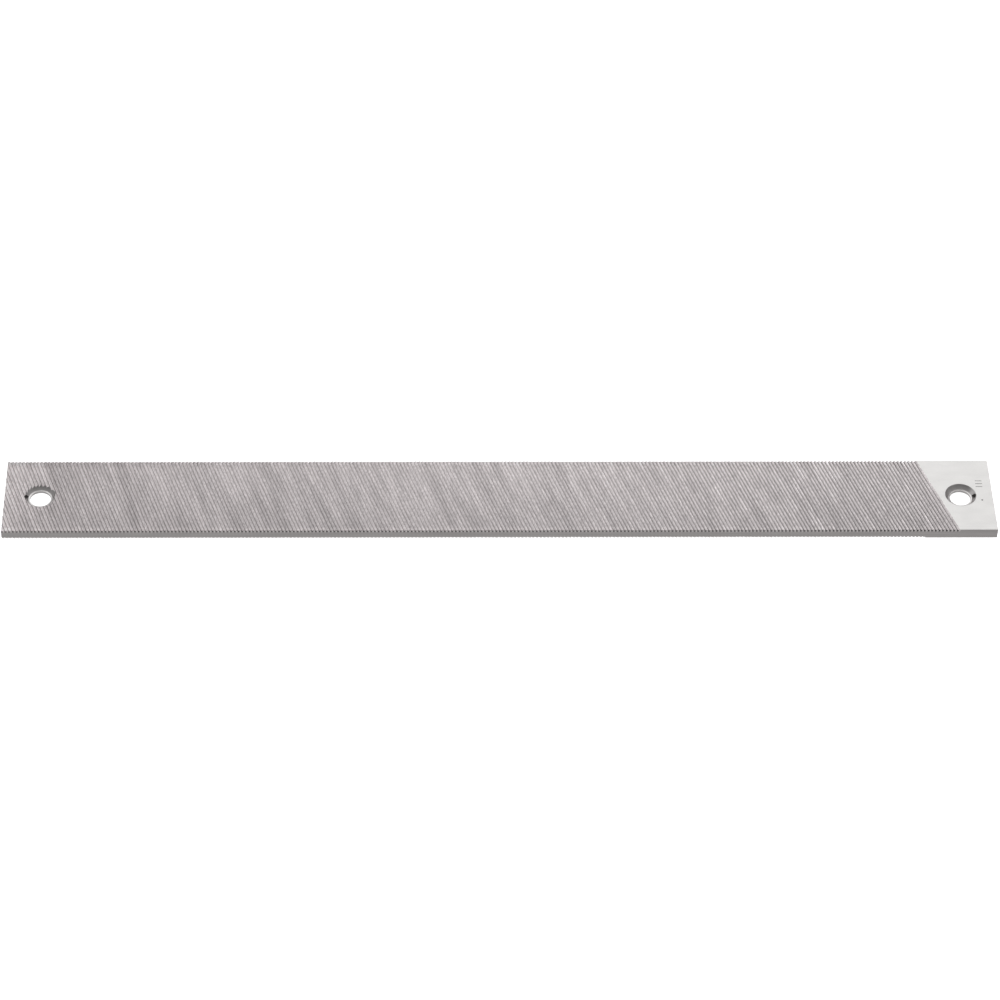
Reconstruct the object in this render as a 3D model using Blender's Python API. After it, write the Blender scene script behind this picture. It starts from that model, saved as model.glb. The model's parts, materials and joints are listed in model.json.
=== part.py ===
"""Exchangeable milled-cut rasp blade: a flat steel bar with slanted teeth on both faces.

The blade lies flat: X runs along it, Y across it and Z through its thickness. The origin is the
middle of its underside. Each face carries rows of teeth from the left end up to a plain ground
land at the right end. The lower face is the upper face turned over about the long axis. A
countersunk screw hole near each end has a small pocket on its outer side, which takes the
locating nib of the holder.
"""

import math

import bmesh
import bpy
from mathutils import Matrix

# Bar
LENGTH = 0.350
WIDTH = 0.035
THICKNESS = 0.0040

# Teeth, measured along X
TOOTH_PITCH = 0.00129
TOOTH_SLANT = math.radians(19.0)
TOOTH_DEPTH = 0.00050
CREST_LAND = 0.00008
RAKE_RUN = 0.00013
PLAIN_LAND_LENGTH = 0.0194          # along the middle line, at the right end

# Screw holes
HOLE_SPACING = 0.326
HOLE_PAIR_SHIFT = 0.0006            # the pair sits this far right of the blade's middle
BORE_RADIUS = 0.0037
RIM_RADIUS = 0.0055
COUNTERSINK_DEPTH = 0.00160
HOLE_SEGMENTS = 48

# Pocket for the holder's locating nib, on the outer side of each hole
NIB_RADIUS = 0.0010
NIB_CENTRE_OFFSET = 0.0046
NIB_DEPTH = 0.00150
NIB_ARC_SEGMENTS = 12

# Cutters reach past the bar by this much
OVERSHOOT = 0.002

STEEL_COLOUR = (0.44, 0.43, 0.425, 1.0)
STEEL_METALLIC = 1.0
STEEL_ROUGHNESS = 0.38


def clear_scene():
    """Remove every object that the scene holds."""
    for old in list(bpy.data.objects):
        bpy.data.objects.remove(old, do_unlink=True)


def steel_material():
    """Bare hardened tool steel."""
    material = bpy.data.materials.new("blade_steel")
    material.use_nodes = True
    shader = material.node_tree.nodes["Principled BSDF"]
    shader.inputs["Base Color"].default_value = STEEL_COLOUR
    shader.inputs["Metallic"].default_value = STEEL_METALLIC
    shader.inputs["Roughness"].default_value = STEEL_ROUGHNESS
    material.diffuse_color = STEEL_COLOUR
    return material


def new_object(name, mesh_data):
    """Link a new object that holds the bmesh's shape."""
    mesh = bpy.data.meshes.new(name)
    mesh_data.to_mesh(mesh)
    mesh_data.free()
    thing = bpy.data.objects.new(name, mesh)
    bpy.context.scene.collection.objects.link(thing)
    return thing


def new_cutter(name, mesh_data):
    """A shape that only cuts: hidden in renders and drawn as wire."""
    cutter = new_object(name, mesh_data)
    cutter.hide_render = True
    cutter.display_type = "WIRE"
    return cutter


def cut(body, cutter):
    """Subtract the cutter from the body, without applying the modifier."""
    modifier = body.modifiers.new("cut_" + cutter.name, "BOOLEAN")
    modifier.operation = "DIFFERENCE"
    modifier.solver = "EXACT"
    modifier.object = cutter


def extrude_outline(outline, offset):
    """Close the outline into a face and extrude it by the offset vector."""
    shape = bmesh.new()
    face = shape.faces.new([shape.verts.new(point) for point in outline])
    swept = bmesh.ops.extrude_face_region(shape, geom=[face])["geom"]
    moved = [item for item in swept if isinstance(item, bmesh.types.BMVert)]
    bmesh.ops.translate(shape, verts=moved, vec=offset)
    bmesh.ops.recalc_face_normals(shape, faces=shape.faces)
    return shape


def bar_shape():
    """The plain bar before it is cut, resting on Z = 0."""
    shape = bmesh.new()
    size = Matrix.Diagonal((LENGTH, WIDTH, THICKNESS, 1.0))
    lift = Matrix.Translation((0.0, 0.0, THICKNESS / 2))
    bmesh.ops.create_cube(shape, size=1.0, matrix=lift @ size)
    return shape


def gullet_shape():
    """The metal milled away between the teeth of the upper face, as one slanted prism.

    Its lower outline is a saw tooth. Going right, each tooth's back climbs gently to a narrow
    crest land at the face's height, and its rake face drops steeply into the next gullet. The
    last gullet's far wall is where the plain land starts.
    """
    half_swept_width = WIDTH / 2 + OVERSHOOT
    slope = math.tan(TOOTH_SLANT)
    shear = slope * half_swept_width
    land_start = LENGTH / 2 - PLAIN_LAND_LENGTH
    left_reach = LENGTH / 2 + shear + OVERSHOOT
    count = math.ceil((land_start + left_reach) / TOOTH_PITCH)
    crest_height = THICKNESS
    gullet_height = THICKNESS - TOOTH_DEPTH

    outline = [(land_start, crest_height + OVERSHOOT), (land_start, crest_height)]
    for number in range(count):
        wall_top = land_start - number * TOOTH_PITCH
        bottom = wall_top - (TOOTH_PITCH - CREST_LAND - RAKE_RUN)
        rake_top = bottom - RAKE_RUN
        outline.append((bottom, gullet_height))
        outline.append((rake_top, crest_height))
        if number < count - 1:
            outline.append((rake_top - CREST_LAND, crest_height))
    outline.append((outline[-1][0], crest_height + OVERSHOOT))

    near_points = [(x + shear, -half_swept_width, z) for x, z in outline]
    return extrude_outline(near_points, (-2 * shear, 2 * half_swept_width, 0.0))


def turned_shape(profile, segments):
    """A closed solid turned about Z from its (radius, height) profile, listed bottom to top."""
    shape = bmesh.new()
    rings = []
    for radius, height in profile:
        turn = [2 * math.pi * index / segments for index in range(segments)]
        ring = [shape.verts.new((radius * math.cos(a), radius * math.sin(a), height)) for a in turn]
        rings.append(ring)
    for lower, upper in zip(rings, rings[1:]):
        for index in range(segments):
            following = (index + 1) % segments
            shape.faces.new((lower[index], lower[following], upper[following], upper[index]))
    shape.faces.new(list(reversed(rings[0])))
    shape.faces.new(rings[-1])
    return shape


def hole_shape():
    """A through hole with an equal countersink on each face."""
    flare = (RIM_RADIUS - BORE_RADIUS) / COUNTERSINK_DEPTH
    outer_radius = RIM_RADIUS + flare * OVERSHOOT
    profile = [
        (outer_radius, -OVERSHOOT),
        (BORE_RADIUS, COUNTERSINK_DEPTH),
        (BORE_RADIUS, THICKNESS - COUNTERSINK_DEPTH),
        (outer_radius, THICKNESS + OVERSHOOT),
    ]
    return turned_shape(profile, HOLE_SEGMENTS)


def nib_pocket_shape(outward, floor, opening):
    """A short round-ended slot from the bore towards the blade's end, between two heights."""
    outline = [(0.0, NIB_RADIUS), (0.0, -NIB_RADIUS)]
    for step in range(NIB_ARC_SEGMENTS + 1):
        angle = -math.pi / 2 + math.pi * step / NIB_ARC_SEGMENTS
        along = NIB_CENTRE_OFFSET + NIB_RADIUS * math.cos(angle)
        outline.append((along, NIB_RADIUS * math.sin(angle)))
    points = [(outward * x, y, floor) for x, y in outline]
    return extrude_outline(points, (0.0, 0.0, opening - floor))


def build_blade():
    """The whole blade: bar, teeth on both faces, screw holes and nib pockets."""
    blade = new_object("rasp_blade", bar_shape())
    blade.data.materials.append(steel_material())

    cut(blade, new_cutter("upper_gullets", gullet_shape()))
    lower = gullet_shape()
    turn_over = Matrix.Translation((0.0, 0.0, THICKNESS)) @ Matrix.Rotation(math.pi, 4, "X")
    bmesh.ops.transform(lower, matrix=turn_over, verts=lower.verts)
    cut(blade, new_cutter("lower_gullets", lower))

    for side, outward in (("left", -1.0), ("right", 1.0)):
        hole_x = HOLE_PAIR_SHIFT + outward * HOLE_SPACING / 2
        hole = new_cutter(side + "_hole", hole_shape())
        upper_nib = nib_pocket_shape(outward, THICKNESS - NIB_DEPTH, THICKNESS + OVERSHOOT)
        lower_nib = nib_pocket_shape(outward, -OVERSHOOT, NIB_DEPTH)
        upper_pocket = new_cutter(side + "_upper_nib_pocket", upper_nib)
        lower_pocket = new_cutter(side + "_lower_nib_pocket", lower_nib)
        for cutter in (hole, upper_pocket, lower_pocket):
            cutter.location.x = hole_x
            cut(blade, cutter)
    return blade


clear_scene()
build_blade()
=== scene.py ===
"""Looks of the exchangeable milled rasp blade: its finely cut steel, the pale floor and soft light.

The CAD blade has straight V gullets. Here the one piece of steel is made again at the same size
and place, with round-bottomed gullets that deepen where they open into the sides, narrow crest
lands that waver a little from tooth to tooth, broken edges, turned countersinks with a narrow
seat, and a small tally mark. Lengths are in metres.
"""

import json
import math
import random

import bmesh
import bpy
from mathutils import Matrix, Vector

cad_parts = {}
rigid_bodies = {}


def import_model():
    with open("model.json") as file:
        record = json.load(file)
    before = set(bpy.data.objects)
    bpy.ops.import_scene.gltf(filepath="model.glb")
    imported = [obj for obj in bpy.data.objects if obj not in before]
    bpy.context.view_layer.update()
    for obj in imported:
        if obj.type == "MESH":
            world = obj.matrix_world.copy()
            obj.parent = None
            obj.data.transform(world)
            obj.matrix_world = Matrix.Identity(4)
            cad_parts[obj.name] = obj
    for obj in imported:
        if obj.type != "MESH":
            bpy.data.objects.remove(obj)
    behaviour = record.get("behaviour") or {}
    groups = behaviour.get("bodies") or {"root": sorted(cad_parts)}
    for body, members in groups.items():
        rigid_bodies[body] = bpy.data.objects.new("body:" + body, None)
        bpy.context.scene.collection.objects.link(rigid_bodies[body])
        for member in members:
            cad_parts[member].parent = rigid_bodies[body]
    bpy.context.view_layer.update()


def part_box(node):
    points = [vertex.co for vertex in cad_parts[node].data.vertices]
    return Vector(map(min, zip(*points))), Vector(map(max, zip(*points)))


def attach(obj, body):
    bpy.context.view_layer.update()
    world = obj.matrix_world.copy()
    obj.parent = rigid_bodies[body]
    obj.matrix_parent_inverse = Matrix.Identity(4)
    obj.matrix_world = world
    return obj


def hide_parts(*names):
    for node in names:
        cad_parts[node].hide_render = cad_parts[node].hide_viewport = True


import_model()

NODE = "rasp_blade"
low_corner, high_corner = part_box(NODE)
LENGTH = high_corner.x - low_corner.x
WIDTH = high_corner.y - low_corner.y
THICKNESS = high_corner.z - low_corner.z
MM = 0.001

# Where the teeth are, along X, as in the CAD model
TOOTH_PITCH = 1.29 * MM
TOOTH_SLANT = math.radians(19.0)
PLAIN_LAND_LENGTH = 19.4 * MM

# Their section, finer than in the CAD model
CREST_LAND = 0.05 * MM
BACK_ANGLE = math.radians(31.0)
RAKE_ANGLE = math.radians(10.0)
GULLET_RADIUS = 0.13 * MM
GULLET_ARC_STEPS = 5
TOOTH_DEPTH = 0.56 * MM
RUN_OUT = (0.92, 0.98)              # share of full depth of the gullets nearest to the plain land

# How far one tooth differs from the next
CREST_WAVER = 0.020 * MM
CREST_WAVER_HOLD = 0.7              # share of the last row's value that the next row keeps
CREST_WEAR = 0.012 * MM
CREST_WEAR_HOLD = 0.4
DEPTH_SPREAD = 0.04
UPPER_SEED, LOWER_SEED = 11, 12

# Rows of the mesh: the broken edges, the line below each face where the plain part of the sides
# starts, and the rows between
EDGE_BREAK = 0.10 * MM
SKIRT_DEPTH = 1.00 * MM
INNER_ROWS = 9

# The gullets deepen where they open into the sides
MOUTH_DEPTH = 1.40                  # share of full depth
MOUTH_REACH = 0.35 * MM

# Screw holes and nib pockets
HOLE_SPACING = 326.0 * MM
HOLE_PAIR_SHIFT = 0.6 * MM          # the pair sits this far right of the blade's middle
BORE_RADIUS = 3.7 * MM
RIM_RADIUS = 5.5 * MM
COUNTERSINK_DEPTH = 1.6 * MM
RIM_BREAK = 0.10 * MM
SEAT_WIDTH = 0.50 * MM              # a narrow turned seat between countersink and bore
SEAT_RISE = 0.10 * MM
HOLE_SEGMENTS = 96
NIB_RADIUS = 1.0 * MM
NIB_CENTRE_OFFSET = 4.6 * MM
NIB_DEPTH = 1.5 * MM
NIB_ARC_SEGMENTS = 20
OVERSHOOT = 1.0 * MM

# Generic marks near the plain end: three short tally strokes and a punched dot
TALLY_CENTRE = (170.6 * MM, 5.6 * MM)
TALLY_STROKE = (2.4 * MM, 0.24 * MM)
TALLY_STEP = 1.45 * MM
TALLY_COUNT = 3
DOT_CENTRE = (171.0 * MM, -2.6 * MM)
DOT_RADIUS = 0.34 * MM
DOT_SEGMENTS = 16
MARK_DEPTH = 0.06 * MM

CUT_TOLERANCE = 1e-9
SHARP_ANGLE = math.radians(25.0)

# Places in the blade's list of materials
TOOTHED_UPPER, TOOTHED_LOWER, LAND, SIDE, SINK, BORE = range(6)


# ---------------------------------------------------------------- shape of the blade

def gullet_profile():
    """One gullet going right from a crest's right edge, as (distance along X, depth).

    The rake face drops steeply, an arc rounds the bottom, and the next tooth's back climbs to
    where its crest land starts.
    """
    back_end = TOOTH_PITCH - CREST_LAND
    vee_depth = back_end / (1 / math.tan(BACK_ANGLE) + math.tan(RAKE_ANGLE))
    vee = Vector((vee_depth * math.tan(RAKE_ANGLE), -vee_depth))
    rake_up = math.pi / 2 + RAKE_ANGLE
    bisector = (rake_up + BACK_ANGLE) / 2
    half_opening = (rake_up - BACK_ANGLE) / 2
    to_centre = GULLET_RADIUS / math.sin(half_opening)
    centre = vee + to_centre * Vector((math.cos(bisector), math.sin(bisector)))

    points = [(0.0, 0.0)]
    first = rake_up + math.pi / 2
    last = BACK_ANGLE + 1.5 * math.pi
    for step in range(GULLET_ARC_STEPS + 1):
        angle = first + (last - first) * step / GULLET_ARC_STEPS
        place = centre + GULLET_RADIUS * Vector((math.cos(angle), math.sin(angle)))
        points.append((place.x, -place.y))
    arc_x, arc_depth = points[-1]
    points.append(((arc_x + back_end) / 2, arc_depth / 2))
    points.append((back_end, 0.0))
    return points


def mesh_rows():
    """The rows of the mesh across the blade, as (y, least depth below the face, gullet depth share)."""
    half = WIDTH / 2
    break_depth = MOUTH_DEPTH + (1.0 - MOUTH_DEPTH) * EDGE_BREAK / MOUTH_REACH
    edge = [
        (half, SKIRT_DEPTH, MOUTH_DEPTH),
        (half, EDGE_BREAK, MOUTH_DEPTH),
        (half - EDGE_BREAK, 0.0, break_depth),
        (half - MOUTH_REACH, 0.0, 1.0),
    ]
    rows = [(-y, least, share) for y, least, share in edge]
    inner = half - MOUTH_REACH
    for row in range(1, INNER_ROWS + 1):
        rows.append((-inner + 2 * inner * row / (INNER_ROWS + 1), 0.0, 1.0))
    return rows + edge[::-1]


def wandering(draw, count, size, hold):
    """A series of small numbers in which each one leans towards the one before it."""
    value = 0.0
    series = []
    for _ in range(count):
        value = hold * value + math.sqrt(1 - hold * hold) * draw.uniform(-size, size)
        series.append(value)
    return series


def face_columns(seed):
    """Columns of points over the upper face, from the plain end leftwards past the left end."""
    draw = random.Random(seed)
    rows = mesh_rows()
    slope = math.tan(TOOTH_SLANT)
    land_start = LENGTH / 2 - PLAIN_LAND_LENGTH
    reach = LENGTH / 2 + slope * WIDTH / 2 + TOOTH_PITCH
    count = math.ceil((land_start + reach) / TOOTH_PITCH)

    def column(places):
        return [
            Vector((x, y, THICKNESS - max(depth, least)))
            for (x, depth), (y, least, _) in zip(places, rows)
        ]

    columns = [
        column([(LENGTH / 2, EDGE_BREAK)] * len(rows)),
        column([(LENGTH / 2 - EDGE_BREAK, 0.0)] * len(rows)),
        column([(land_start - slope * y, 0.0) for y, _, _ in rows]),
    ]
    for number in range(count):
        share = RUN_OUT[number] if number < len(RUN_OUT) else 1.0
        share *= 1 + draw.uniform(-DEPTH_SPREAD, DEPTH_SPREAD)
        left_edge = land_start - (number + 1) * TOOTH_PITCH
        aside = wandering(draw, len(rows), CREST_WAVER, CREST_WAVER_HOLD)
        wear = [abs(w) for w in wandering(draw, len(rows), CREST_WEAR, CREST_WEAR_HOLD)]
        gullet = gullet_profile()
        if number == 0:
            gullet.pop()
        for along, depth in reversed(gullet):
            places = []
            for (y, _, mouth), shift, lower in zip(rows, aside, wear):
                x = left_edge + along - slope * y
                if along < TOOTH_PITCH - CREST_LAND:
                    x += shift
                places.append((x, depth * share * mouth if depth > 0 else lower))
            columns.append(column(places))
    return columns


def turned_over(columns):
    """The same face for the underside: turned half a turn about the blade's long axis."""
    return [[Vector((p.x, -p.y, THICKNESS - p.z)) for p in column] for column in columns]


def add_face(shape, columns, toothed_slot):
    """Add one face's grid to the bmesh and return its vertices, column by column."""
    grid = [[shape.verts.new(point) for point in column] for column in columns]
    last_row = len(grid[0]) - 2
    for number, (right, left) in enumerate(zip(grid, grid[1:])):
        for row in range(len(right) - 1):
            face = shape.faces.new((right[row], right[row + 1], left[row + 1], left[row]))
            if row in (0, last_row):
                face.material_index = SIDE
            elif number < 2:
                face.material_index = LAND
            else:
                face.material_index = toothed_slot
    return grid


def zip_lines(shape, upper, lower):
    """Fill the plain side between two lines of vertices that both run leftwards."""
    a = b = 0
    while a < len(upper) - 1 or b < len(lower) - 1:
        upper_next = upper[a + 1].co.x if a < len(upper) - 1 else -math.inf
        lower_next = lower[b + 1].co.x if b < len(lower) - 1 else -math.inf
        if upper_next >= lower_next:
            corners = (upper[a], upper[a + 1], lower[b])
            a += 1
        else:
            corners = (upper[a], lower[b], lower[b + 1])
            b += 1
        shape.faces.new(corners).material_index = SIDE


def bar_shape():
    """The whole toothed bar without its holes, cut off straight at the left end."""
    shape = bmesh.new()
    upper = add_face(shape, face_columns(UPPER_SEED), TOOTHED_UPPER)
    lower = add_face(shape, turned_over(face_columns(LOWER_SEED)), TOOTHED_LOWER)
    zip_lines(shape, [c[0] for c in upper], [c[-1] for c in lower])
    zip_lines(shape, [c[-1] for c in upper], [c[0] for c in lower])
    shape.faces.new(upper[0] + lower[0]).material_index = SIDE

    everything = [*shape.verts, *shape.edges, *shape.faces]
    bmesh.ops.bisect_plane(
        shape,
        geom=everything,
        dist=CUT_TOLERANCE,
        plane_co=(-LENGTH / 2, 0.0, 0.0),
        plane_no=(1.0, 0.0, 0.0),
        clear_inner=True,
    )
    rim = [edge for edge in shape.edges if edge.is_boundary]
    bmesh.ops.edgeloop_fill(shape, edges=rim, mat_nr=SIDE)
    bmesh.ops.recalc_face_normals(shape, faces=shape.faces)
    return shape


# ---------------------------------------------------------------- holes, pockets and marks

def new_object(name, shape, collection=None):
    """Link a new object that holds the bmesh's shape."""
    mesh = bpy.data.meshes.new(name)
    shape.to_mesh(mesh)
    shape.free()
    thing = bpy.data.objects.new(name, mesh)
    (collection or bpy.context.scene.collection).objects.link(thing)
    return thing


def add_rings(shape, profile, segments):
    """Rings of vertices round Z, one for each (radius, height) point."""
    turn = [2 * math.pi * index / segments for index in range(segments)]
    return [
        [shape.verts.new((radius * math.cos(a), radius * math.sin(a), height)) for a in turn]
        for radius, height in profile
    ]


def add_band(shape, lower, upper):
    """The faces between two rings of vertices."""
    next_lower = lower[1:] + lower[:1]
    next_upper = upper[1:] + upper[:1]
    return [shape.faces.new(corners) for corners in zip(lower, next_lower, next_upper, upper)]


def turned_shape(profile):
    """A closed solid turned about Z from (radius, height) points, in turned steel."""
    shape = bmesh.new()
    rings = add_rings(shape, profile, HOLE_SEGMENTS)
    for lower, upper in zip(rings, rings[1:]):
        for face in add_band(shape, lower, upper):
            face.material_index = SINK
    shape.faces.new(list(reversed(rings[0])))
    shape.faces.new(rings[-1])
    return shape


def hole_shape():
    """A through hole with an equal countersink, narrow seat and broken rim on each face."""
    flare = (RIM_RADIUS - BORE_RADIUS) / COUNTERSINK_DEPTH
    half = [
        (BORE_RADIUS, COUNTERSINK_DEPTH),
        (BORE_RADIUS + SEAT_WIDTH, COUNTERSINK_DEPTH - SEAT_RISE),
        (RIM_RADIUS - flare * RIM_BREAK, RIM_BREAK),
        (RIM_RADIUS + RIM_BREAK, -RIM_BREAK / 2),
        (RIM_RADIUS + RIM_BREAK, -OVERSHOOT),
    ]
    below = list(reversed(half))
    above = [(radius, THICKNESS - height) for radius, height in half]
    return turned_shape(below + above)


def extruded_shape(outline, floor, opening):
    """A closed prism over an outline in X and Y, between two heights, in bored steel."""
    shape = bmesh.new()
    base = shape.faces.new([shape.verts.new((x, y, floor)) for x, y in outline])
    swept = bmesh.ops.extrude_face_region(shape, geom=[base])["geom"]
    moved = [item for item in swept if isinstance(item, bmesh.types.BMVert)]
    bmesh.ops.translate(shape, verts=moved, vec=(0.0, 0.0, opening - floor))
    bmesh.ops.recalc_face_normals(shape, faces=shape.faces)
    for face in shape.faces:
        face.material_index = BORE
    return shape


def nib_outline(outward):
    """A round-ended slot from the bore's middle towards the blade's end."""
    outline = [(0.0, NIB_RADIUS), (0.0, -NIB_RADIUS)]
    for step in range(NIB_ARC_SEGMENTS + 1):
        angle = -math.pi / 2 + math.pi * step / NIB_ARC_SEGMENTS
        along = NIB_CENTRE_OFFSET + NIB_RADIUS * math.cos(angle)
        outline.append((outward * along, NIB_RADIUS * math.sin(angle)))
    return outline


def rectangle(size_x, size_y):
    return [(sx * size_x / 2, sy * size_y / 2) for sx, sy in ((-1, -1), (1, -1), (1, 1), (-1, 1))]


def circle(radius, count):
    turn = [2 * math.pi * index / count for index in range(count)]
    return [(radius * math.cos(a), radius * math.sin(a)) for a in turn]


def sharpen_borders(mesh):
    """Make each edge between two materials sharp, so that no shading runs across it."""
    shape = bmesh.new()
    shape.from_mesh(mesh)
    for edge in shape.edges:
        if len({face.material_index for face in edge.link_faces}) > 1:
            edge.smooth = False
    shape.to_mesh(mesh)
    shape.free()


def build_blade(materials):
    """The finished blade as one object: the toothed bar with everything cut out of it."""
    blade = new_object("milled_blade", bar_shape())
    cutters = bpy.data.collections.new("cutters")
    bpy.context.scene.collection.children.link(cutters)

    def add_cutter(name, shape, x, y=0.0):
        cutter = new_object(name, shape, cutters)
        cutter.location = (x, y, 0.0)

    for side, outward in (("left", -1.0), ("right", 1.0)):
        hole_x = HOLE_PAIR_SHIFT + outward * HOLE_SPACING / 2
        add_cutter(side + "_hole", hole_shape(), hole_x)
        outline = nib_outline(outward)
        top, bottom = THICKNESS + OVERSHOOT, -OVERSHOOT
        add_cutter(side + "_upper_pocket", extruded_shape(outline, THICKNESS - NIB_DEPTH, top), hole_x)
        add_cutter(side + "_lower_pocket", extruded_shape(outline, bottom, NIB_DEPTH), hole_x)

    mark_floor = THICKNESS - MARK_DEPTH
    for number in range(TALLY_COUNT):
        y = TALLY_CENTRE[1] + (number - (TALLY_COUNT - 1) / 2) * TALLY_STEP
        stroke = extruded_shape(rectangle(*TALLY_STROKE), mark_floor, THICKNESS + OVERSHOOT)
        add_cutter(f"tally_{number}", stroke, TALLY_CENTRE[0], y)
    dot = extruded_shape(circle(DOT_RADIUS, DOT_SEGMENTS), mark_floor, THICKNESS + OVERSHOOT)
    add_cutter("dot", dot, *DOT_CENTRE)

    for thing in (blade, *cutters.objects):
        for material in materials:
            thing.data.materials.append(material)

    cut = blade.modifiers.new("cut_out", "BOOLEAN")
    cut.operation = "DIFFERENCE"
    cut.solver = "MANIFOLD"
    cut.operand_type = "COLLECTION"
    cut.collection = cutters
    bpy.context.view_layer.update()
    depsgraph = bpy.context.evaluated_depsgraph_get()
    finished = bpy.data.meshes.new_from_object(blade.evaluated_get(depsgraph))
    blade.modifiers.clear()
    blade.data = finished
    for cutter in list(cutters.objects):
        bpy.data.objects.remove(cutter, do_unlink=True)
    bpy.data.collections.remove(cutters)

    finished.shade_smooth()
    finished.set_sharp_from_angle(angle=SHARP_ANGLE)
    sharpen_borders(finished)
    return blade


# ---------------------------------------------------------------- materials

# Base colours
TOOTHED_COLOUR = (0.668, 0.627, 0.631)
LAND_COLOUR = (0.85, 0.844, 0.832)
SIDE_COLOUR = (0.45, 0.437, 0.433)
SINK_COLOUR = (0.69, 0.675, 0.67)
BORE_COLOUR = (0.30, 0.29, 0.285)

# The part of a noise's values that its swing is spread over
GRAIN_SPAN = (0.3, 0.7)

# Toothed faces, whose colour holds painted light and shade: brightness of the foot and the crest of
# each tooth's back at the blade's left and right end (painted light and shade); of the painted dark
# line of shade along a gullet's floor at the left, middle and right, and where the middle starts and
# ends and the right starts; that line's height at the left and right; the painted shade where gullets
# open into the blade's sides;
# the painted highlights of the long edges and of the left end; the slow drift of painted light from
# left to right, and the lightening from the near to the far edge
FOOT_SHADE = (1.24, 0.60)
CREST_SHADE = (0.97, 1.13)
LINE_SHADE = (0.26, 0.56, 0.24)
LINE_PLACES = (-0.10, 0.10, 0.42)   # of the length
LINE_HEIGHT = (0.24, 0.45)
MOUTH_SHADE = 0.50
MOUTH_SHADE_WIDTH = 0.80 * MM
GLEAM_SHADE = 1.28
GLEAM_WIDTH = 2.2 * MM
END_GLEAM_SHADE = 1.26
END_GLEAM_WIDTH = 16.0 * MM
DRIFT_SHADE = (0.92, 1.05)
DRIFT_RANGE = (-0.25, 0.15)         # of the length
NEAR_TO_FAR_SHADE = (0.93, 1.13)

# The sides between two crests, with painted shade and highlight: where the painted dark gullet mouth
# lies in a tooth's pitch, its half width and soft rim, the brightness in the mouth (painted shade) and
# beside it (painted highlight), and how far it fades below the gullet
NOTCH_PHASE = 0.30
NOTCH_HALF_WIDTH = 0.15
NOTCH_RIM = 0.25
NOTCH_SHADE = (0.15, 1.90)
NOTCH_FADE = 0.30 * MM

# Holes: brightness at the seat (painted highlight) and at the rim (painted shade), and the bore's own
# painted shade, which starts just inside the seat
SINK_SHADE = (1.15, 0.78)
SINK_RIM_WIDTH = 0.4 * MM
WALL_SHADE = 0.60
WALL_RIM = 0.08 * MM


class Steel:
    """A metallic Principled material that is put together from procedural nodes."""

    def __init__(self, name, colour, roughness):
        self.material = bpy.data.materials.new(name)
        self.material.use_nodes = True
        self.tree = self.material.node_tree
        self.shader = self.tree.nodes["Principled BSDF"]
        self.shader.inputs["Base Color"].default_value = (*colour, 1.0)
        self.shader.inputs["Metallic"].default_value = 1.0
        self.shader.inputs["Roughness"].default_value = roughness
        self.colour = colour
        self.place = self.add("ShaderNodeTexCoord").outputs["Object"]

    def add(self, kind, **settings):
        made = self.tree.nodes.new(kind)
        for key, value in settings.items():
            setattr(made, key, value)
        return made

    def feed(self, target, value):
        """Link a socket, or set a plain value, on an input."""
        if isinstance(value, bpy.types.NodeSocket):
            self.tree.links.new(value, target)
        else:
            target.default_value = value

    def math(self, operation, *values):
        made = self.add("ShaderNodeMath", operation=operation)
        for target, value in zip(made.inputs, values):
            self.feed(target, value)
        return made.outputs["Value"]

    def spread(self, value, low, high, new_low, new_high):
        """Map a value's range low..high onto new_low..new_high, held at both ends."""
        made = self.add("ShaderNodeMapRange")
        for name, number in (
            ("Value", value),
            ("From Min", low),
            ("From Max", high),
            ("To Min", new_low),
            ("To Max", new_high),
        ):
            self.feed(made.inputs[name], number)
        return made.outputs["Result"]

    def grain(self, size, turn=0.0, detail=2.0, source=None):
        """Noise whose grains have the given size (x, y, z), turned about Z, as 0 to 1."""
        mapping = self.add("ShaderNodeMapping", vector_type="TEXTURE")
        self.feed(mapping.inputs["Vector"], source or self.place)
        self.feed(mapping.inputs["Rotation"], (0.0, 0.0, turn))
        self.feed(mapping.inputs["Scale"], size)
        noise = self.add("ShaderNodeTexNoise")
        self.feed(noise.inputs["Vector"], mapping.outputs["Vector"])
        self.feed(noise.inputs["Scale"], 1.0)
        self.feed(noise.inputs["Detail"], detail)
        return noise.outputs["Fac"]

    def shade(self, factor):
        """Base colour is the steel's colour times the factor."""
        made = self.add("ShaderNodeVectorMath", operation="SCALE")
        self.feed(made.inputs[0], self.colour)
        self.feed(made.inputs["Scale"], factor)
        self.feed(self.shader.inputs["Base Color"], made.outputs["Vector"])

    def dapple(self, factor, *grains):
        """The factor times each grain's swing about 1, given as (grain, swing)."""
        for grain, swing in grains:
            dapples = self.spread(grain, *GRAIN_SPAN, 1 - swing, 1 + swing)
            factor = self.math("MULTIPLY", factor, dapples)
        return factor

    def rough(self, value):
        self.feed(self.shader.inputs["Roughness"], value)

    def bump(self, height, distance):
        made = self.add("ShaderNodeBump")
        self.feed(made.inputs["Height"], height)
        self.feed(made.inputs["Distance"], distance)
        self.feed(self.shader.inputs["Normal"], made.outputs["Normal"])


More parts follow.
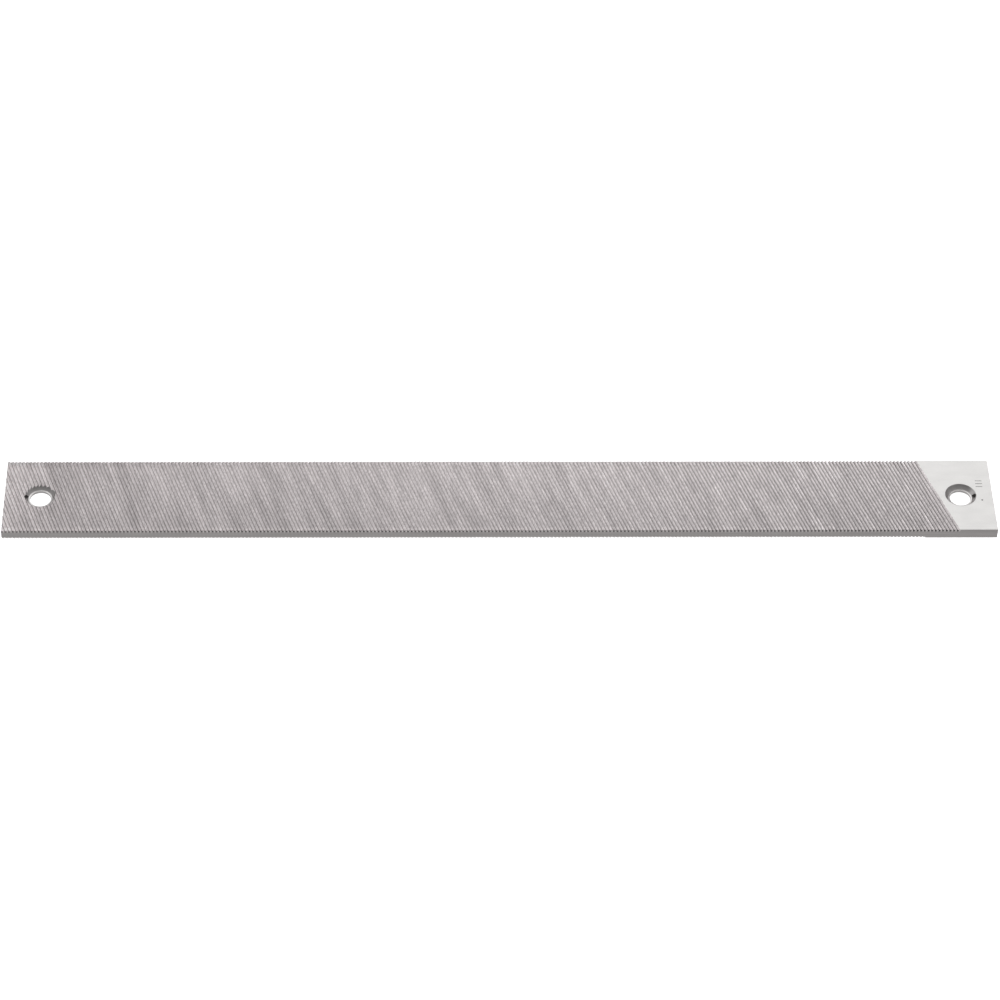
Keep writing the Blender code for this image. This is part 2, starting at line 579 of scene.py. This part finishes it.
def toothed_steel(name, turn, upper):
    """Milled teeth: streaks along the cut, painted shade in the gullets that deepens towards the plain
    land while painted highlights on their crests brighten, painted shade where the gullets open into
    the blade's sides, and painted highlights along the edges.
    """
    steel = Steel(name, TOOTHED_COLOUR, 0.25)
    patches = steel.grain((3.2 * MM, 26 * MM, 5 * MM), turn, detail=1.5)
    streaks = steel.grain((0.9 * MM, 7 * MM, 2 * MM), turn, detail=2.0)
    flecks = steel.grain((0.30 * MM, 0.9 * MM, 0.5 * MM), turn, detail=2.0)
    scores = steel.grain((0.045 * MM, 4 * MM, 0.045 * MM), turn, detail=2.0)

    axes = steel.add("ShaderNodeSeparateXYZ")
    steel.feed(axes.inputs["Vector"], steel.place)
    along, across, height = axes.outputs
    crest, floor = (THICKNESS, THICKNESS - TOOTH_DEPTH) if upper else (0.0, TOOTH_DEPTH)
    off_middle = steel.math("ABSOLUTE", across)
    edge = WIDTH / 2 - EDGE_BREAK
    # Painted shade where the gullets open into the blade's sides
    mouth_shade = steel.spread(off_middle, WIDTH / 2 - MOUTH_SHADE_WIDTH, edge, 1.0, MOUTH_SHADE)
    # Painted highlights along both long edges
    gleam = steel.spread(off_middle, WIDTH / 2 - GLEAM_WIDTH, edge, 1.0, GLEAM_SHADE)
    # Painted light and shade along each tooth's back: foot and crest lighter or darker from the left
    # end to the right
    foot_shade = steel.spread(along, -LENGTH / 2, LENGTH / 2, *FOOT_SHADE)
    crest_shade = steel.spread(along, -LENGTH / 2, LENGTH / 2, *CREST_SHADE)
    factor = steel.spread(height, floor, crest, steel.math("MULTIPLY", foot_shade, mouth_shade), crest_shade)
    # A painted dark line of shade along each gullet's floor
    left_line, middle_line, right_line = LINE_SHADE
    middle_start, middle_end, right_start = (place * LENGTH for place in LINE_PLACES)
    line_shade = steel.math(
        "ADD",
        steel.spread(along, -LENGTH / 2, middle_start, left_line, middle_line),
        steel.spread(along, middle_end, right_start, 0.0, right_line - middle_line),
    )
    line_height = steel.spread(along, -LENGTH / 2, middle_end, *LINE_HEIGHT)
    line_top = steel.math("MULTIPLY_ADD", line_height, crest - floor, floor)
    factor = steel.math("MULTIPLY", factor, steel.spread(height, floor, line_top, line_shade, 1.0))

    # Lighter towards the far edge
    near_to_far = steel.spread(across, -WIDTH / 2, WIDTH / 2, *NEAR_TO_FAR_SHADE)
    # Painted highlight near the left end
    end_gleam = steel.spread(along, -LENGTH / 2, END_GLEAM_WIDTH - LENGTH / 2, END_GLEAM_SHADE, 1.0)
    # Painted light: darker towards the left and lighter towards the right of the middle
    drift_start, drift_end = DRIFT_RANGE
    drift = steel.spread(along, drift_start * LENGTH, drift_end * LENGTH, *DRIFT_SHADE)
    for slow in (near_to_far, gleam, end_gleam, drift):
        factor = steel.math("MULTIPLY", factor, slow)
    steel.shade(steel.dapple(factor, (patches, 0.12), (streaks, 0.10), (flecks, 0.26), (scores, 0.07)))
    steel.rough(steel.spread(streaks, 0.25, 0.75, 0.20, 0.30))
    steel.bump(scores, 0.003 * MM)
    return steel.material


def ground_steel():
    """The plain land: fine straight grinding lines along the blade."""
    steel = Steel("ground_land", LAND_COLOUR, 0.34)
    lines = steel.grain((22 * MM, 0.10 * MM, 1 * MM), detail=3.0)
    clouds = steel.grain((9 * MM, 4 * MM, 4 * MM), detail=2.0)
    flecks = steel.grain((0.7 * MM, 0.3 * MM, 0.5 * MM), detail=2.0)
    steel.shade(steel.dapple(1.0, (lines, 0.04), (clouds, 0.03), (flecks, 0.015)))
    steel.rough(steel.spread(lines, *GRAIN_SPAN, 0.30, 0.40))
    steel.bump(lines, 0.002 * MM)
    return steel.material


def side_steel():
    """Duller sides and ends, drawn and sawn rather than ground, with painted shade at each gullet's
    mouth and a painted highlight at each crest's end.
    """
    steel = Steel("side_steel", SIDE_COLOUR, 0.42)
    lines = steel.grain((30 * MM, 1 * MM, 0.16 * MM), detail=3.0)
    clouds = steel.grain((14 * MM, 5 * MM, 2.0 * MM), detail=2.0)

    # Share of a tooth's pitch that has passed since the last crest, on the nearer face
    axes = steel.add("ShaderNodeSeparateXYZ")
    steel.feed(axes.inputs["Vector"], steel.place)
    along, across, height = axes.outputs
    above_middle = steel.math("SUBTRACT", height, THICKNESS / 2)
    aside = steel.math("MULTIPLY", across, steel.math("SIGN", above_middle))
    from_land = steel.math("MULTIPLY_ADD", aside, math.tan(TOOTH_SLANT), along)
    from_land = steel.math("SUBTRACT", from_land, LENGTH / 2 - PLAIN_LAND_LENGTH)
    phase = steel.math("FRACT", steel.math("DIVIDE", from_land, TOOTH_PITCH))
    # Painted shade in each gullet's mouth and a painted highlight beside it at each crest's end
    off_gullet = steel.math("ABSOLUTE", steel.math("SUBTRACT", phase, NOTCH_PHASE))
    notch = steel.spread(off_gullet, NOTCH_HALF_WIDTH, NOTCH_HALF_WIDTH + NOTCH_RIM, *NOTCH_SHADE)
    from_middle = steel.math("ABSOLUTE", above_middle)
    reach = THICKNESS / 2 - TOOTH_DEPTH
    near_face = steel.spread(from_middle, reach - NOTCH_FADE, reach, 0.0, 1.0)
    toothed = steel.math("LESS_THAN", from_land, 0.0)
    depth_of_shade = steel.math("MULTIPLY", near_face, toothed)
    swing = steel.math("MULTIPLY", steel.math("SUBTRACT", notch, 1.0), depth_of_shade)
    steel.shade(steel.dapple(steel.math("ADD", swing, 1.0), (lines, 0.10), (clouds, 0.08)))
    steel.rough(steel.spread(clouds, *GRAIN_SPAN, 0.36, 0.48))
    steel.bump(lines, 0.004 * MM)
    return steel.material


def turned_steel():
    """Holes: fine rings round the axis, a painted highlight at the seat, and painted shade in the bore.
    """
    steel = Steel("turned_countersink", SINK_COLOUR, 0.30)
    axes = steel.add("ShaderNodeSeparateXYZ")
    steel.feed(axes.inputs["Vector"], steel.place)
    along = steel.math("SUBTRACT", axes.outputs["X"], HOLE_PAIR_SHIFT)
    aside = steel.math("SUBTRACT", steel.math("ABSOLUTE", along), HOLE_SPACING / 2)
    squares = steel.math(
        "ADD",
        steel.math("MULTIPLY", aside, aside),
        steel.math("MULTIPLY", axes.outputs["Y"], axes.outputs["Y"]),
    )
    radius = steel.math("SQRT", squares)
    ring_place = steel.add("ShaderNodeCombineXYZ")
    steel.feed(ring_place.inputs["X"], radius)
    rings = steel.grain((0.14 * MM, 1.0, 1.0), detail=2.0, source=ring_place.outputs["Vector"])
    clouds = steel.grain((1.2 * MM, 1.2 * MM, 1.2 * MM), detail=2.0)
    # Painted highlight at the seat, fading to painted shade at the rim, and painted shade in the bore
    seat_highlight = steel.spread(radius, BORE_RADIUS + SEAT_WIDTH, RIM_RADIUS - SINK_RIM_WIDTH, *SINK_SHADE)
    wall = steel.spread(radius, BORE_RADIUS, BORE_RADIUS + WALL_RIM, WALL_SHADE, 1.0)
    steel.shade(steel.dapple(steel.math("MULTIPLY", seat_highlight, wall), (rings, 0.08), (clouds, 0.05)))
    steel.rough(steel.spread(rings, *GRAIN_SPAN, 0.26, 0.36))
    steel.bump(rings, 0.006 * MM)
    return steel.material


def bore_steel():
    """Nib pockets and marks: rough, dull cut metal."""
    steel = Steel("bored_steel", BORE_COLOUR, 0.50)
    spots = steel.grain((0.35 * MM, 0.35 * MM, 0.35 * MM), detail=3.0)
    steel.shade(steel.dapple(1.0, (spots, 0.25)))
    steel.rough(steel.spread(spots, *GRAIN_SPAN, 0.42, 0.58))
    steel.bump(spots, 0.010 * MM)
    return steel.material


# ---------------------------------------------------------------- studio

FLOOR_RADIUS = 2.5
SWEEP_RADIUS = 1.0
WALL_TOP = 2.2
SWEEP_STEPS = 16
FLOOR_SEGMENTS = 96
FLOOR_GREY = 0.9
FLOOR_ROUGHNESS = 0.9
FLOOR_GLOW = 0.93


def build_floor():
    """A seamless pale floor that sweeps up into a low round wall."""
    shape = bmesh.new()
    profile = [(FLOOR_RADIUS, 0.0)]
    for step in range(1, SWEEP_STEPS + 1):
        angle = math.pi / 2 * step / SWEEP_STEPS
        across = FLOOR_RADIUS + SWEEP_RADIUS * math.sin(angle)
        profile.append((across, SWEEP_RADIUS * (1 - math.cos(angle))))
    profile.append((FLOOR_RADIUS + SWEEP_RADIUS, WALL_TOP))
    rings = add_rings(shape, profile, FLOOR_SEGMENTS)
    shape.faces.new(rings[0])
    for lower, upper in zip(rings, rings[1:]):
        add_band(shape, upper, lower)
    floor = new_object("studio_floor", shape)
    floor.data.shade_smooth()

    paint = bpy.data.materials.new("pale_floor")
    paint.use_nodes = True
    shader = paint.node_tree.nodes["Principled BSDF"]
    shader.inputs["Base Color"].default_value = (FLOOR_GREY, FLOOR_GREY, FLOOR_GREY, 1.0)
    shader.inputs["Roughness"].default_value = FLOOR_ROUGHNESS
    shader.inputs["Specular IOR Level"].default_value = 0.0
    shader.inputs["Emission Color"].default_value = (1.0, 1.0, 1.0, 1.0)
    shader.inputs["Emission Strength"].default_value = FLOOR_GLOW
    floor.data.materials.append(paint)
    floor.visible_glossy = False


SURROUND = 0.34                     # radiance of the grey surround behind the blade
FRONT_SHARE = 0.75                  # and in front of it, as a share of that
BELOW = (0.65, 0.90)                # radiance below the horizon, in front and behind
SURROUND_COLOUR = (1.0, 0.985, 0.98, 1.0)

# Where one radiance turns into the next, along Y above and below the horizon, and along Z
ABOVE_BLEND = (-0.45, 0.15)
BELOW_BLEND = (-0.30, 0.30)
HORIZON_BLEND = (-0.10, 0.10)


def build_world():
    """A grey surround, which the steel mirrors wherever no soft box stands.

    It is darker in front of the blade, and pale below the horizon.
    """
    world = bpy.data.worlds.new("grey_surround")
    bpy.context.scene.world = world
    world.use_nodes = True
    nodes, links = world.node_tree.nodes, world.node_tree.links
    background = nodes["Background"]
    background.inputs["Color"].default_value = SURROUND_COLOUR
    axes = nodes.new("ShaderNodeSeparateXYZ")
    links.new(nodes.new("ShaderNodeTexCoord").outputs["Generated"], axes.inputs["Vector"])

    def ramp(source, low, high, start, end):
        made = nodes.new("ShaderNodeMapRange")
        made.interpolation_type = "SMOOTHSTEP"
        links.new(source, made.inputs["Value"])
        for name, value in (("From Min", low), ("From Max", high), ("To Min", start), ("To Max", end)):
            if isinstance(value, bpy.types.NodeSocket):
                links.new(value, made.inputs[name])
            else:
                made.inputs[name].default_value = value
        return made.outputs["Result"]

    above = ramp(axes.outputs["Y"], *ABOVE_BLEND, SURROUND * FRONT_SHARE, SURROUND)
    below = ramp(axes.outputs["Y"], *BELOW_BLEND, *BELOW)
    radiance = ramp(axes.outputs["Z"], *HORIZON_BLEND, below, above)
    links.new(radiance, background.inputs["Strength"])


# Soft boxes as (name, azimuth in degrees, elevation in degrees, distance, width, height, radiance).
# Azimuth 0 stands behind the blade and grows to the right.
SOFT_BOXES = (
    ("back_box", 2.0, 45.0, 1.25, 1.10, 0.90, 0.75),
    ("left_box", -62.0, 41.5, 1.30, 1.00, 1.00, 0.45),
    ("right_box", 97.0, 50.0, 1.10, 0.50, 0.35, 0.70),
)


def build_lights():
    """Soft boxes that face the blade. A box's power gives it the radiance that it says."""
    for name, azimuth, elevation, distance, width, height, radiance in SOFT_BOXES:
        turn, rise = math.radians(azimuth), math.radians(elevation)
        away = Vector((
            math.sin(turn) * math.cos(rise),
            math.cos(turn) * math.cos(rise),
            math.sin(rise),
        ))
        light = bpy.data.lights.new(name, "AREA")
        light.shape = "RECTANGLE"
        light.size = width
        light.size_y = height
        light.energy = radiance * math.pi * width * height
        box = bpy.data.objects.new(name, light)
        box.location = away * distance
        box.rotation_euler = away.to_track_quat("Z", "Y").to_euler()
        box.visible_camera = False
        bpy.context.scene.collection.objects.link(box)


VIEW_AZIMUTH = math.radians(-2.44)
VIEW_ELEVATION = math.radians(44.81)
VIEW_ROLL = math.radians(1.663)
VIEW_DISTANCE = 1.3289
VIEW_TARGET = Vector((-0.0002, -0.0024, THICKNESS))
SENSOR_WIDTH = 36.0
FOCAL_LENGTH = 135.32


def build_camera():
    """A long lens, a little left of the blade's middle and halfway up."""
    back = Vector((
        math.sin(VIEW_AZIMUTH) * math.cos(VIEW_ELEVATION),
        -math.cos(VIEW_AZIMUTH) * math.cos(VIEW_ELEVATION),
        math.sin(VIEW_ELEVATION),
    ))
    data = bpy.data.cameras.new("camera")
    data.sensor_width = SENSOR_WIDTH
    data.lens = FOCAL_LENGTH
    camera = bpy.data.objects.new("camera", data)
    camera.location = VIEW_TARGET + back * VIEW_DISTANCE
    level = (-back).to_track_quat("-Z", "Y").to_matrix()
    roll = Matrix.Rotation(VIEW_ROLL, 3, "Z")
    camera.rotation_euler = (level @ roll).to_euler()
    bpy.context.scene.collection.objects.link(camera)
    bpy.context.scene.camera = camera


# ---------------------------------------------------------------- put together

blade = build_blade([
    toothed_steel("toothed_upper", TOOTH_SLANT, upper=True),
    toothed_steel("toothed_lower", -TOOTH_SLANT, upper=False),
    ground_steel(),
    side_steel(),
    turned_steel(),
    bore_steel(),
])
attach(blade, "root")
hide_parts(NODE)

build_floor()
build_world()
build_lights()
build_camera()
bpy.context.scene.view_settings.view_transform = "Standard"
